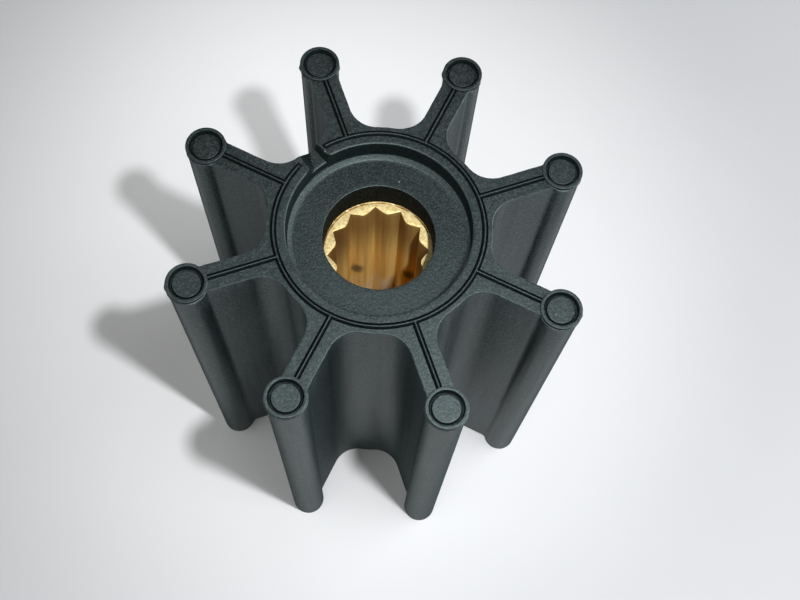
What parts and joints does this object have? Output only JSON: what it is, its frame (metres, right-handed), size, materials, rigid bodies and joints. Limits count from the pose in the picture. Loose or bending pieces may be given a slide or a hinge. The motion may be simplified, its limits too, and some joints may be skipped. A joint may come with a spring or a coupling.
{
  "type": "flexible rubber pump impeller",
  "caption": "Flexible marine pump impeller: rubber hub with straight radial blades and round bulb tips, moulded round a bronze insert with a splined bore.",
  "frame": {"origin": "middle of the far end, level with the rims of the bulbs that the impeller stands on", "axes": "+Z runs along the pump shaft to the near end, where the mould parts and the relief slot is; +X lies midway between two blades, and the slot is at 135 degrees from +X"},
  "size_m": [0.0606, 0.0606, 0.0756],
  "materials": {
    "rubber": "matt moulded black rubber with a slight blue-grey sheen",
    "bronze": "machined bronze, bright end face and broached bore"
  },
  "bodies": {
    "root": {"rubber_impeller": "rubber", "splined_insert": "bronze"}
  },
  "joints": []
}
